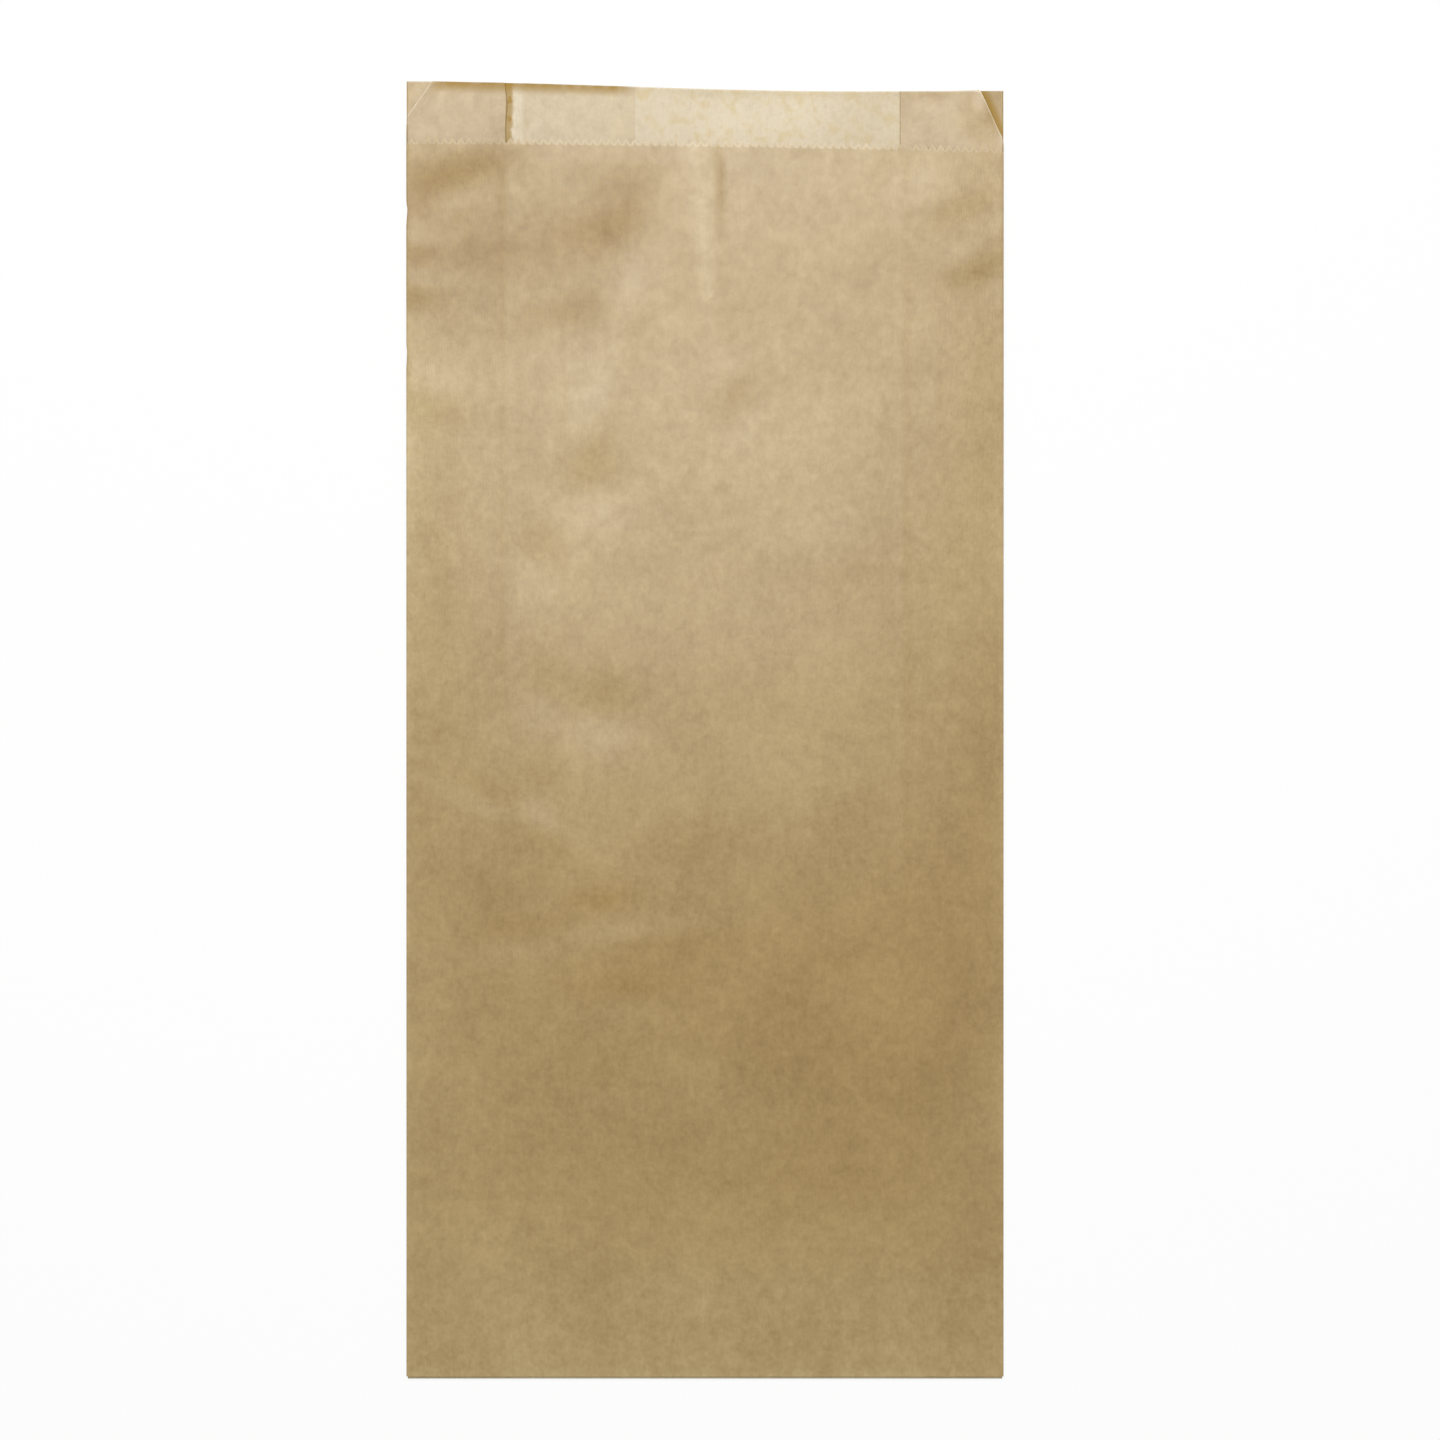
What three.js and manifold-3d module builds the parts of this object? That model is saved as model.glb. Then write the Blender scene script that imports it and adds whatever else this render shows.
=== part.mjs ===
// Flat takeaway bag of brown kraft paper, lying on its back with its mouth towards +Y.
// It is one sheet, folded into a tube with a gusset down each side, lapped and pasted
// down the back, and closed at the bottom by a tongue of the front panel that is folded
// under and pasted. Sizes are in millimetres and +Z is up. The origin is on the surface
// that the bag lies on, below the middle of its outline.

import * as THREE from "three";
import { mergeVertices } from "three/addons/utils/BufferGeometryUtils.js";
import Module from "manifold-3d";

// The paper, and how closely its plies lie
const PAPER = 0.1; // thickness of the sheet
const PLY_GAP = 0.05; // between two plies that are pressed together
const PASTE_BITE = 0.02; // how far paste soaks into the ply on each side of it
const FOLD_STEP_MOUTH = 0.6; // height from one ply to the next at a side fold, at the mouth
const FOLD_STEP_BOTTOM = 0.35; // the same at the bottom, where the folds are pressed flatter
const FOLD_REACH = 0.3; // how far the rounding of a fold reaches in from its edge

// The outline of the folded bag
const WIDTH = 150; // from side fold to side fold
const LENGTH = 326; // from the bottom fold to the lip's edge, on the left
const GUSSET_LEFT = 25; // from the left side fold in to the gusset's own fold
const GUSSET_RIGHT = 26; // the same on the right

// The mouth: the back panel and the gussets stand past the front panel's toothed edge
const LIP = 15; // from the middle of the teeth to the lip's edge, on the left
const LIP_FALL = 2.4; // how much lower the lip's edge ends on the right
const LIP_FALL_RUN = 111; // width over which it falls
const FRONT_FALL = 2.2; // how much lower the toothed edge ends on the right
const TOOTH_PITCH = 2.08; // from tooth to tooth
const TOOTH_DEPTH = 1.5; // from the notches to the points
const CORNER_WIDTH_LEFT = 6.4; // corner clipped off the left gusset's front leaf
const CORNER_DROP_LEFT = 9; // how far down the side fold that clip reaches
const CORNER_WIDTH_RIGHT = 5.9; // the same on the right
const CORNER_DROP_RIGHT = 12.5;

// The seam down the back, whose inner ply is the one that comes from the left
const SEAM_EDGE = -17.6; // where the inner ply ends
const SEAM_LAP = 27.6; // how far the two plies lap
const SEAM_PASTE_INSET = 17; // from the inner ply's edge to the middle of the paste
const SEAM_PASTE_WIDTH = 8; // width of the line of paste
const SEAM_RAMP = 1; // width over which the inner ply climbs onto the outer one

// The bottom: the front panel's tongue is folded under the back panel
const TONGUE = 15; // from the bottom fold to the middle of the tongue's teeth
const TONGUE_PASTE_MARGIN = 3; // bare strip round the paste on the tongue
const TONGUE_RAMP = 8; // length over which the back panel comes down past the tongue

// The rise of the front panel off the back one, along its middle, over its height at the
// side folds: the bag is fullest about half way up, and closes again towards the mouth
const BELLY_RISE = 5; // where the bag is fullest
const BELLY_AT = 150; // how far that is from the bottom fold
const MOUTH_RISE = 3.4; // at the toothed edge
const RISE_START = 25; // where the rise begins, from the bottom fold
const RISE_ROUNDNESS = 3; // a higher number makes the arch flatter across its middle

// The soft crease that runs down from the middle of the mouth: a ridge beside a furrow
const CREASE_AT = 1; // where the ridge meets the mouth
const CREASE_LEAN = 3; // how far to the right it drifts on its way down
const CREASE_LENGTH = 48; // how far down it runs
const CREASE_WIDTH = 2.6; // half the width of the ridge, and of the furrow
const CREASE_HEIGHT = 0.3; // height of the ridge, and depth of the furrow

// Broad hollows that handling has left in the front panel: place, half sizes and depth
const HOLLOWS = [
  { x: -64, y: 136, across: 14, along: 9, depth: 0.9 },
  { x: -66, y: 109, across: 12, along: 8, depth: 0.6 },
  { x: -28, y: 119, across: 14, along: 9, depth: 0.6 },
  { x: -31, y: 98, across: 16, along: 7, depth: 0.5 },
  { x: 8, y: 83, across: 8, along: 10, depth: 0.4 },
];

// How finely the sheet is divided
const TEETH_PER_COLUMN = 2; // columns of the front panel are this many teeth wide
const BODY_ROWS = 14; // rows from the tongue's end to below the mouth
const ROW_BUNCHING = 1.5; // a higher number moves the rows towards the mouth
const MOUTH_ROWS = 2; // rows from there to the cut edge
const MOUTH_ZONE = 6; // height of those rows below the front panel's notches
const FOLD_SIDES = 4; // flat sides in the rounding of a fold
const LEAF_COLUMNS = 3; // columns in each gusset leaf
const BACK_COLUMNS = 7; // columns in the wide part of the back panel
const TOOTH_ROOT = 1; // height of the strip that carries the teeth

// Material of the paper
const KRAFT = { color: 0xb09a6c, roughness: 0.85, metalness: 0 };

const HALF_WIDTH = WIDTH / 2;
const BOTTOM = -LENGTH / 2;
const TOP = LENGTH / 2;
const FLAT_END = HALF_WIDTH - PAPER / 2 - FOLD_REACH; // where a panel turns into its side fold
const SEAM_OUTER_EDGE = SEAM_EDGE - SEAM_LAP; // where the outer ply ends
const PLY_STEP = PAPER + PLY_GAP; // height from ply to ply where they are pressed together
const TONGUE_END = BOTTOM + TONGUE;

const { clamp, lerp, smoothstep } = THREE.MathUtils;

// Height of the lip's cut edge, and of the middle of the front panel's teeth
const lipEdge = (x) => TOP - LIP_FALL * smoothstep(x, -HALF_WIDTH, LIP_FALL_RUN - HALF_WIDTH);
const frontEdge = (x) => TOP - LIP - (FRONT_FALL * (x + HALF_WIDTH)) / WIDTH;

// Height of the cut of a gusset's front leaf, with its clipped corner
function leafEdge(x) {
  const width = x < 0 ? CORNER_WIDTH_LEFT : CORNER_WIDTH_RIGHT;
  const drop = x < 0 ? CORNER_DROP_LEFT : CORNER_DROP_RIGHT;
  return lipEdge(x) - drop * clamp((Math.abs(x) - HALF_WIDTH + width) / width, 0, 1);
}

// Height from ply to ply at the side folds, which are pressed flatter towards the bottom
const foldStep = (y) => lerp(FOLD_STEP_BOTTOM, FOLD_STEP_MOUTH, clamp((y - BOTTOM) / LENGTH, 0, 1));

// Middle of the back panel's thickness: it climbs over the tongue, and over the seam's outer ply
function backHeight(y) {
  const past = clamp((y - TONGUE_END - TOOTH_DEPTH) / TONGUE_RAMP, 0, 1);
  return PAPER / 2 + PLY_STEP * (1 - past);
}
const seamClimb = (x) => PLY_STEP * clamp((x - SEAM_OUTER_EDGE + SEAM_RAMP + PLY_STEP) / SEAM_RAMP, 0, 1);

// Middle of a ply's thickness at the side folds: 0 is the back panel, 3 the front panel
const plyHeight = (ply, y) => backHeight(y) + ply * foldStep(y);

// How far the front panel stands over its height at the side folds
function frontRise(x, y) {
  const belly = BOTTOM + BELLY_AT;
  const filling = BELLY_RISE * smoothstep(y, BOTTOM + RISE_START, belly);
  const closing = (BELLY_RISE - MOUTH_RISE) * smoothstep(y, belly, TOP - LIP);
  const arch = (filling - closing) * (1 - Math.abs(x / FLAT_END) ** RISE_ROUNDNESS);
  const down = clamp((frontEdge(0) - y) / CREASE_LENGTH, 0, 1);
  const off = (x - CREASE_AT - CREASE_LEAN * down) / CREASE_WIDTH;
  const ridge = Math.exp(-(off ** 2)) - Math.exp(-((off - 2) ** 2));
  const crease = CREASE_HEIGHT * (1 - down) * ridge;
  let hollow = 0;
  for (const h of HOLLOWS) {
    hollow += h.depth * Math.exp(-(((x - h.x) / h.across) ** 2) - ((y - h.y) / h.along) ** 2);
  }
  return Math.max(arch + crease - hollow, 0);
}

// A sheet is a surface through the middle of the paper, with its outward direction at each
// point. Thickening it gives a closed body: both faces, and a wall along every free edge.
class Sheet {
  constructor() {
    this.points = [];
    this.directions = [];
    this.faces = [];
  }

  addPoint(point, direction) {
    this.points.push(point);
    this.directions.push(direction.normalize());
    return this.points.length - 1;
  }

  // Fills the strip between two lines of as many points
  addStrip(line, next) {
    for (let i = 0; i + 1 < line.length; i++) {
      this.faces.push([line[i], line[i + 1], next[i]], [line[i + 1], next[i + 1], next[i]]);
    }
  }

  thicken(thickness) {
    const positions = [];
    this.points.forEach((point, i) => {
      for (const side of [1, -1]) {
        positions.push(...point.clone().addScaledVector(this.directions[i], (side * thickness) / 2));
      }
    });
    const index = [];
    const edges = new Map();
    for (const [a, b, c] of this.faces) {
      index.push(2 * a, 2 * b, 2 * c, 2 * a + 1, 2 * c + 1, 2 * b + 1);
      for (const [from, to] of [[a, b], [b, c], [c, a]]) edges.set(`${from} ${to}`, [from, to]);
    }
    for (const [from, to] of edges.values()) {
      if (edges.has(`${to} ${from}`)) continue;
      index.push(2 * to, 2 * from, 2 * from + 1, 2 * to, 2 * from + 1, 2 * to + 1);
    }
    const geometry = new THREE.BufferGeometry();
    geometry.setAttribute("position", new THREE.Float32BufferAttribute(positions, 3));
    geometry.setIndex(index);
    return geometry;
  }
}

// The columns run from the bottom to the mouth, in their order round the tube. Each has its
// place and outward direction at a height, and the height at which the mouth cuts it.
const columns = [];

const spread = (from, to, count) => Array.from({ length: count + 1 }, (_, i) => lerp(from, to, i / count));

// A flat stretch of the tube, with a column at each x. `outward` is 1 where the outside of
// the bag faces up.
function addPanel(places, outward, heightAt, cutAt) {
  for (const x of places) {
    columns.push({
      place: (y) => new THREE.Vector3(x, y, heightAt(x, y)),
      direction: () => new THREE.Vector3(0, 0, outward),
      cut: cutAt(x),
      x,
    });
  }
}

// The rounding between ply `lower` and the one above it, about the line x = `centre`. `side`
// is 1 where it bulges to the right. A gusset's inner fold shows its outside in the hollow.
function addFold(centre, side, lower, goesUp, inner, cutFrom, cutTo) {
  for (let i = 1; i < FOLD_SIDES; i++) {
    const turn = (Math.PI * i) / FOLD_SIDES;
    const angle = goesUp ? turn - Math.PI / 2 : Math.PI / 2 - turn;
    const across = side * Math.cos(angle);
    const up = Math.sin(angle);
    const facing = inner ? -1 : 1;
    columns.push({
      place: (y) => {
        const middle = plyHeight(lower, y) + foldStep(y) / 2;
        return new THREE.Vector3(centre + FOLD_REACH * across, y, middle + (foldStep(y) / 2) * up);
      },
      direction: (y) =>
        new THREE.Vector3(across / FOLD_REACH, 0, (2 * up) / foldStep(y)).multiplyScalar(facing),
      cut: lerp(cutFrom, cutTo, i / FOLD_SIDES),
    });
  }
}

const TOOTH_COLUMNS = Math.round((2 * FLAT_END) / TOOTH_PITCH / TEETH_PER_COLUMN);
const leftInner = GUSSET_LEFT - HALF_WIDTH - PAPER / 2 - FOLD_REACH;
const rightInner = HALF_WIDTH - GUSSET_RIGHT + PAPER / 2 + FOLD_REACH;
const leftClip = CORNER_WIDTH_LEFT - HALF_WIDTH;
const rightClip = HALF_WIDTH - CORNER_WIDTH_RIGHT;
const frontNotches = (x) => frontEdge(x) - TOOTH_DEPTH / 2;
const frontCut = (x) => frontNotches(x) - TOOTH_ROOT;
const backRight = (x, y) => plyHeight(0, y);
const backLeft = (x, y) => plyHeight(0, y) + seamClimb(x);
const leaf = (ply) => (x, y) => plyHeight(ply, y);
const front = (x, y) => plyHeight(3, y) + frontRise(x, y);

addPanel(spread(SEAM_OUTER_EDGE, FLAT_END, BACK_COLUMNS), -1, backRight, lipEdge);
addFold(FLAT_END, 1, 0, true, false, lipEdge(HALF_WIDTH), lipEdge(HALF_WIDTH));
addPanel(spread(FLAT_END, rightInner, LEAF_COLUMNS), 1, leaf(1), lipEdge);
addFold(rightInner, -1, 1, true, true, lipEdge(rightInner), lipEdge(rightInner));
addPanel([...spread(rightInner, rightClip, LEAF_COLUMNS - 1), FLAT_END], -1, leaf(2), leafEdge);
addFold(FLAT_END, 1, 2, true, false, leafEdge(FLAT_END), frontCut(HALF_WIDTH));
const FIRST_FRONT = columns.length;
addPanel(spread(FLAT_END, -FLAT_END, TOOTH_COLUMNS), 1, front, frontCut);
const LAST_FRONT = columns.length - 1;
addFold(-FLAT_END, -1, 2, false, false, frontCut(-HALF_WIDTH), leafEdge(-FLAT_END));
addPanel([-FLAT_END, ...spread(leftClip, leftInner, LEAF_COLUMNS - 1)], -1, leaf(2), leafEdge);
addFold(leftInner, 1, 1, false, true, lipEdge(leftInner), lipEdge(leftInner));
addPanel(spread(leftInner, -FLAT_END, LEAF_COLUMNS), 1, leaf(1), lipEdge);
addFold(-FLAT_END, -1, 0, false, false, lipEdge(-HALF_WIDTH), lipEdge(-HALF_WIDTH));
const climbStart = SEAM_OUTER_EDGE - PLY_STEP - SEAM_RAMP;
addPanel(spread(-FLAT_END, climbStart, LEAF_COLUMNS - 1), -1, backLeft, lipEdge);
addPanel(spread(climbStart + SEAM_RAMP, SEAM_EDGE, LEAF_COLUMNS), -1, backLeft, lipEdge);

// The rows of the tube start where the front panel turns under, and end at the mouth's cut
const TURN_RADIUS = (plyHeight(3, BOTTOM) - PAPER / 2) / 2;
const TURN_SIDES = 6; // flat sides in the rounding of the bottom fold
const TURN = BOTTOM + PAPER / 2 + TURN_RADIUS;
const RAMP_FOOT = TONGUE_END + TOOTH_DEPTH + TONGUE_RAMP;
const MOUTH_FOOT = frontCut(HALF_WIDTH) - MOUTH_ZONE;

function rowHeights(cut) {
  const heights = [TURN, TONGUE_END + TOOTH_DEPTH, RAMP_FOOT];
  for (let i = 1; i <= BODY_ROWS; i++) {
    heights.push(lerp(RAMP_FOOT, MOUTH_FOOT, 1 - (1 - i / BODY_ROWS) ** ROW_BUNCHING));
  }
  for (let i = 1; i <= MOUTH_ROWS; i++) heights.push(lerp(MOUTH_FOOT, cut, i / MOUTH_ROWS));
  return heights;
}

const sheet = new Sheet();
const lines = columns.map((column) =>
  rowHeights(column.cut).map((y) => sheet.addPoint(column.place(y), column.direction(y))),
);
for (let i = 0; i + 1 < lines.length; i++) sheet.addStrip(lines[i], lines[i + 1]);

// The tongue: the front panel's columns go on round the bottom fold and under the back panel
const tongueNotch = TONGUE_END - TOOTH_DEPTH / 2;
const frontLines = lines.slice(FIRST_FRONT, LAST_FRONT + 1);
const tongueLines = frontLines.map((line, i) => {
  const { x } = columns[FIRST_FRONT + i];
  const points = [line[0]];
  for (let step = 1; step <= TURN_SIDES; step++) {
    const angle = (Math.PI * step) / TURN_SIDES;
    const out = new THREE.Vector3(0, -Math.sin(angle), Math.cos(angle));
    const centre = new THREE.Vector3(x, TURN, PAPER / 2 + TURN_RADIUS);
    points.push(sheet.addPoint(centre.addScaledVector(out, TURN_RADIUS), out));
  }
  const end = new THREE.Vector3(x, tongueNotch - TOOTH_ROOT, PAPER / 2);
  points.push(sheet.addPoint(end, new THREE.Vector3(0, 0, -1)));
  return points;
});
for (let i = 0; i + 1 < tongueLines.length; i++) sheet.addStrip(tongueLines[i + 1], tongueLines[i]);

// Teeth along a cut edge, whose points are `edge`. `pointAt` gives a point a height past the
// notches, at any x, and `turned` says that the sheet's outside faces the other way there.
function addTeeth(edge, pointAt, turned) {
  const addFace = (a, b, c) => sheet.faces.push(turned ? [a, c, b] : [a, b, c]);
  const teeth = (edge.length - 1) * TEETH_PER_COLUMN;
  const across = (i) => lerp(FLAT_END, -FLAT_END, i / teeth);
  const notches = [];
  for (let i = 0; i <= teeth; i++) notches.push(pointAt(across(i), 0));
  for (let i = 0; i < teeth; i++) {
    addFace(notches[i], pointAt(across(i + 0.5), TOOTH_DEPTH), notches[i + 1]);
  }
  for (let i = 0; i + 1 < edge.length; i++) {
    const first = i * TEETH_PER_COLUMN;
    const middle = Math.floor(TEETH_PER_COLUMN / 2);
    for (let k = 0; k < TEETH_PER_COLUMN; k++) {
      addFace(edge[k < middle ? i : i + 1], notches[first + k], notches[first + k + 1]);
    }
    addFace(edge[i], notches[first + middle], edge[i + 1]);
  }
}

function mouthPoint(x, past) {
  const y = frontNotches(x) + past;
  return sheet.addPoint(new THREE.Vector3(x, y, front(x, y)), new THREE.Vector3(0, 0, 1));
}
function tonguePoint(x, past) {
  const place = new THREE.Vector3(x, tongueNotch + past, PAPER / 2);
  return sheet.addPoint(place, new THREE.Vector3(0, 0, -1));
}
addTeeth(frontLines.map((line) => line.at(-1)), mouthPoint, false);
addTeeth(tongueLines.map((line) => line.at(-1)), tonguePoint, true);

// A line of paste fills the gap between two plies, and soaks a little into both
function paste(fromX, toX, heights, middleAt) {
  const strip = new Sheet();
  const [left, right] = [fromX, toX].map((x) =>
    heights.map((y) => strip.addPoint(new THREE.Vector3(x, y, middleAt(y)), new THREE.Vector3(0, 0, 1))),
  );
  strip.addStrip(right, left);
  return strip.thicken(PLY_GAP + 2 * PASTE_BITE);
}

const seamMiddle = SEAM_EDGE - SEAM_PASTE_INSET;
const seamHeights = [TURN + TONGUE_PASTE_MARGIN, TONGUE_END + TOOTH_DEPTH, RAMP_FOOT, MOUTH_FOOT];
seamHeights.push(lipEdge(HALF_WIDTH) - TONGUE_PASTE_MARGIN);
const seamPaste = paste(
  seamMiddle - SEAM_PASTE_WIDTH / 2,
  seamMiddle + SEAM_PASTE_WIDTH / 2,
  seamHeights,
  (y) => backHeight(y) + PLY_STEP / 2,
);
const tonguePaste = paste(
  TONGUE_PASTE_MARGIN - FLAT_END,
  FLAT_END - TONGUE_PASTE_MARGIN,
  [TURN + TONGUE_PASTE_MARGIN, tongueNotch - TONGUE_PASTE_MARGIN],
  () => PAPER / 2 + PLY_STEP / 2,
);

const wasm = await Module();
wasm.setup();

function solidOf(geometry) {
  const { index, attributes } = mergeVertices(geometry);
  const vertProperties = attributes.position.array;
  const triVerts = new Uint32Array(index.array);
  return new wasm.Manifold(new wasm.Mesh({ numProp: 3, vertProperties, triVerts }));
}

const pasted = solidOf(sheet.thicken(PAPER)).add(solidOf(seamPaste)).add(solidOf(tonguePaste));
const { vertProperties, triVerts } = pasted.getMesh();
const geometry = new THREE.BufferGeometry();
geometry.setAttribute("position", new THREE.BufferAttribute(vertProperties, 3));
geometry.setIndex(new THREE.BufferAttribute(triVerts, 1));
geometry.computeVertexNormals();

const bag = new THREE.Mesh(geometry, new THREE.MeshStandardMaterial({ ...KRAFT, flatShading: true }));
bag.name = "paper_bag";

const root = new THREE.Group();
root.add(bag);

export default root;
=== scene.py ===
"""Looks of a flat kraft paper takeaway bag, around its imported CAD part.

The bag is one sheet of paper, folded into a tube with a gusset down each side, lapped and
pasted down the back, and closed at the bottom by a tongue that is folded under. It lies on its
back with its mouth towards +Y. Everything is in metres, in the frame of the CAD part.
"""

import math
from collections import namedtuple

import bpy
import numpy as np
from bpy.props import FloatProperty, FloatVectorProperty, PointerProperty
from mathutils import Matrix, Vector


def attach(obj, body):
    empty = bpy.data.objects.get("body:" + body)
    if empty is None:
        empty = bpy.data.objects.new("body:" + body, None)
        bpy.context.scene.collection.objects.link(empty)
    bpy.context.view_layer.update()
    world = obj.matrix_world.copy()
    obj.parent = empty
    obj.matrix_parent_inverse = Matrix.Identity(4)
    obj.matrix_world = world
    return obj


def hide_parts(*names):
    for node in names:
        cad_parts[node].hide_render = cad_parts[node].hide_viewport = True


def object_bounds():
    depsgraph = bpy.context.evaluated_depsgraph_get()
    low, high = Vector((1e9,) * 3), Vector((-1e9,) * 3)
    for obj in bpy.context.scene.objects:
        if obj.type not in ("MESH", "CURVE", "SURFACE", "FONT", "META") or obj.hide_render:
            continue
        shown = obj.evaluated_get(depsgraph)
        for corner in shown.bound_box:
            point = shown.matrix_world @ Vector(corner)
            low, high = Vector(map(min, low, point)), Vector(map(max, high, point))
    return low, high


bl_info = {
    "name": "Flat Paper Bag",
    "version": (1, 0, 0),
    "blender": (4, 5, 0),
    "location": "View3D > Sidebar > Paper Bag",
    "description": "Adds a flat kraft paper takeaway bag and a plain stage for it",
    "category": "Add Mesh",
}

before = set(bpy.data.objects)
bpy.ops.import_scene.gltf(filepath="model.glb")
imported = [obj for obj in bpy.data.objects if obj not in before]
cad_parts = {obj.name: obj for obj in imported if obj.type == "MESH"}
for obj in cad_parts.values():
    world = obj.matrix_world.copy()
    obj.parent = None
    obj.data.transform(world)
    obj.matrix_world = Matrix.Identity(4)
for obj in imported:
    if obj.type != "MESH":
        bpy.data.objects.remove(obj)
CAD_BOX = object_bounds()
CAD_WIDTH = CAD_BOX[1][0] - CAD_BOX[0][0]
CAD_LENGTH = CAD_BOX[1][1] - CAD_BOX[0][1]

MM = 0.001

# How closely the plies lie
PLY_GAP = 0.05 * MM  # between two plies that are pressed together
PASTE_BITE = 0.02 * MM  # how far paste soaks into the ply on each side of it
FOLD_STEP_MOUTH = 0.6 * MM  # height from one ply to the next at a side fold, at the mouth
FOLD_STEP_BOTTOM = 0.35 * MM  # the same at the bottom, where the folds are pressed flatter
FOLD_REACH = 0.3 * MM  # how far the rounding of a fold reaches in from its edge

# The mouth
LIP_FALL = 2.4 * MM  # how much lower the lip's edge ends on the right
LIP_FALL_RUN = 111 * MM  # width over which it falls
FRONT_FALL = 2.2 * MM  # how much lower the toothed edge ends on the right
TEETH = 72
TOOTH_ROOT = 0.5 * MM  # height of the strip that carries the teeth
TOOTH_BODY = 0.38 * MM  # how far the middle of a tooth counts as being from the cut
CORNER_WIDTH_LEFT = 6.4 * MM  # corner clipped off the left gusset's front leaf
CORNER_DROP_LEFT = 9 * MM  # how far down the side fold that clip reaches
CORNER_WIDTH_RIGHT = 5.9 * MM
CORNER_DROP_RIGHT = 12.5 * MM

# The seam down the back, whose inner ply is the one that comes from the left
SEAM_EDGE = -17.6 * MM  # where the inner ply ends
SEAM_PASTE_INSET = 17 * MM  # from the inner ply's edge to the middle of the paste
SEAM_PASTE_WIDTH = 8 * MM
SEAM_RAMP = 1 * MM  # width over which the inner ply climbs onto the outer one

# The bottom: the front panel's tongue is folded under the back panel
TONGUE_PASTE_MARGIN = 3 * MM  # bare strip round the paste on the tongue
TONGUE_RAMP = 8 * MM  # length over which the back panel comes down past the tongue

# The rise of the front panel off the back one
BELLY_AT = 150 * MM  # how far the fullest place is from the bottom fold
RISE_START = 25 * MM  # where the rise begins, from the bottom fold
RISE_ROUNDNESS = 3.0  # a higher number makes the arch flatter across its middle
RISE_FLOOR = 0.3 * MM  # how softly the rise ends where it meets the gussets
EDGE_DROOP = 0.2 * MM  # how far the toothed edge bends down, left of its middle
EDGE_DROOP_AT = -24 * MM
EDGE_DROOP_HALF = 26 * MM  # half the width of that bend
EDGE_DROOP_RUN = 6 * MM  # length over which it does

# The soft crease that runs down from the middle of the mouth: a ridge beside a furrow
CREASE_AT = 1 * MM  # where the ridge meets the mouth
CREASE_LEAN = 3 * MM  # how far to the right it drifts on its way down
CREASE_LENGTH = 48 * MM
CREASE_WIDTH = 2.1 * MM  # half the width of the ridge, and of the furrow
CREASE_HEIGHT = 0.3 * MM

# Where the lamp stands, seen from above, so that a tilt is stated as lighter or darker
TOWARDS_LAMP = (-0.5, 0.866)

# Marks of handling on the front panel. A dent is a soft hollow, or a rise where its height is
# above 0. A tilt is a patch that leans towards the lamp, or away from it where its slope is
# below 0. Both have a place, half sizes and a turn to the left in degrees; lengths are in mm.
Dent = namedtuple("Dent", "x y across along turn height")
Tilt = namedtuple("Tilt", "x y across along turn slope")
DENTS = (
    Dent(-64, 134, 15, 8, 12, -0.9),
    Dent(-76, 123, 9, 3.4, -6, 0.55),
    Dent(-77, 112, 11, 4.4, -4, 0.7),
    Dent(-70, 85, 11, 6, 0, 0.5),
    Dent(-27, 60, 9, 8, 0, -0.55),
    Dent(-42, 42, 6, 8, 0, -0.42),
    Dent(-26, 4, 9, 7, -8, -0.5),
    Dent(-41, 9, 5, 7, 0, -0.3),
    Dent(-41, -15, 5, 6, 0, -0.25),
    Dent(-41, -40, 5, 6, 0, -0.18),
    Dent(-26, -46, 9, 5, 8, -0.3),
    Dent(-4, -33, 9, 6, 0, -0.22),
    Dent(-21, -67, 12, 5, 5, -0.25),
    Dent(33, -63, 7, 6, 0, -0.18),
    Dent(-26, -89, 8, 5, 0, -0.15),
    Dent(69, 120, 10, 4, 8, 0.3),
    Dent(58, 84, 1.1, 9, 0, 0.08),
    Dent(0, 18.8, 4.5, 0.8, 4, 0.06),
    Dent(45, 41.5, 5.5, 0.8, -2, 0.06),
)
TILTS = (
    Tilt(-64, 138, 16, 8, 20, -0.12),
    Tilt(-26, 126, 10, 8, 0, -0.1),
    Tilt(-36, 104, 12, 7, 6, -0.07),
    Tilt(-20, 110, 6, 26, -17, 0.06),
    Tilt(-27, 83, 6, 13, -20, 0.07),
    Tilt(8, 84, 5, 8, -8, -0.08),
    Tilt(54, 137, 7, 9, 0, 0.07),
    Tilt(67, 132, 8, 4, 0, -0.07),
    Tilt(67, 114, 8, 4, 0, -0.07),
    Tilt(-28, -52, 24, 4, 4, 0.05),
    Tilt(-48, -21, 13, 3.5, -27, 0.045),
    Tilt(30, 50, 10, 10, 0, 0.03),
)

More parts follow.
